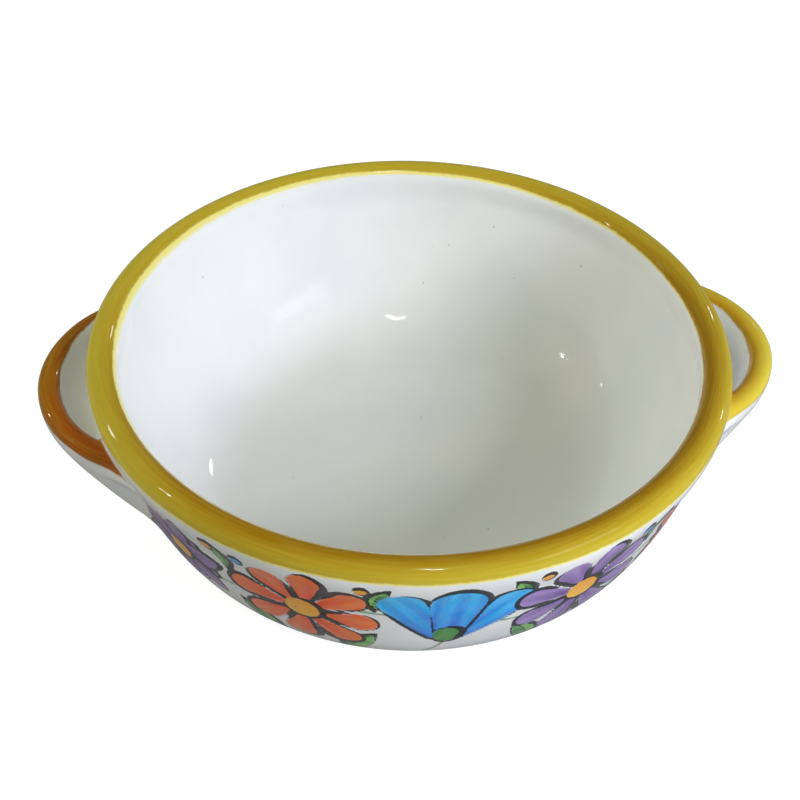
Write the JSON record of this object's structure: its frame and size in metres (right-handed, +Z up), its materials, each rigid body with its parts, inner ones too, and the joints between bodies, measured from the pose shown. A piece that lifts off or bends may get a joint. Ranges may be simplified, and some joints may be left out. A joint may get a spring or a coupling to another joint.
{
  "type": "terrine dish",
  "caption": "Round, shallow terrine dish of glazed earthenware with a thick rolled rim, flared wall, flat floor on a low foot ring, and a dished ear handle on each side for lifting.",
  "frame": {"origin": "centre of the foot ring's underside, on the surface that the dish stands on", "axes": "+Z up out of the bowl, +X through the right ear, so that both ears lie along X"},
  "size_m": [0.2558, 0.22, 0.072],
  "materials": {
    "white_glaze": "glossy white tin glaze with a painted band of flowers outside",
    "ochre_rim": "glossy ochre brush paint under clear glaze",
    "amber_ear": "glossy amber brush paint on the crest, white glaze below",
    "bare_clay": "unglazed biscuit earthenware, matt"
  },
  "bodies": {
    "root": {"bowl_floor": "white_glaze", "bowl_wall": "white_glaze", "rim_lip": "ochre_rim", "foot_ring": "bare_clay", "left_handle_strap": "amber_ear", "right_handle_strap": "amber_ear", "left_handle_web": "white_glaze", "right_handle_web": "white_glaze"}
  },
  "joints": []
}
